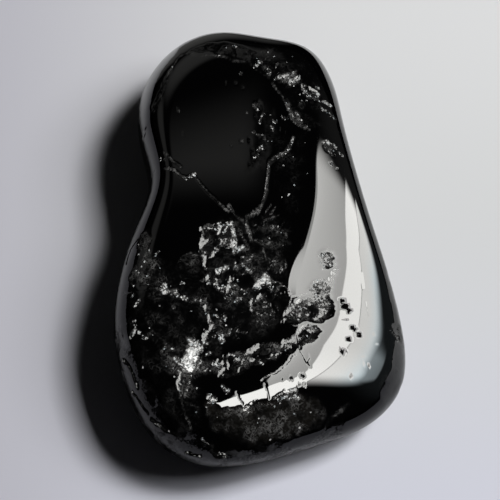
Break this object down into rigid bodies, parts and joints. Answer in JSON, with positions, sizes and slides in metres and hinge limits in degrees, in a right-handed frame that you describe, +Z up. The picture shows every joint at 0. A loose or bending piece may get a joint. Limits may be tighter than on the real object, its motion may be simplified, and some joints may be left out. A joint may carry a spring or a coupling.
{
  "type": "polished black tourmaline stone",
  "caption": "Waisted palm stone of polished black tourmaline with a low crown, rough hollows and cracks in its face, and a flat side to rest on.",
  "frame": {"origin": "middle of the bounding box, on the surface the stone rests on", "axes": "+Z up out of the polished face, +Y along the length towards the narrower end, +X towards the long slope of the face"},
  "size_m": [0.0302, 0.0499, 0.0126],
  "materials": {
    "black_tourmaline": "polished"
  },
  "bodies": {
    "root": {"tourmaline_stone": "black_tourmaline"}
  },
  "joints": []
}
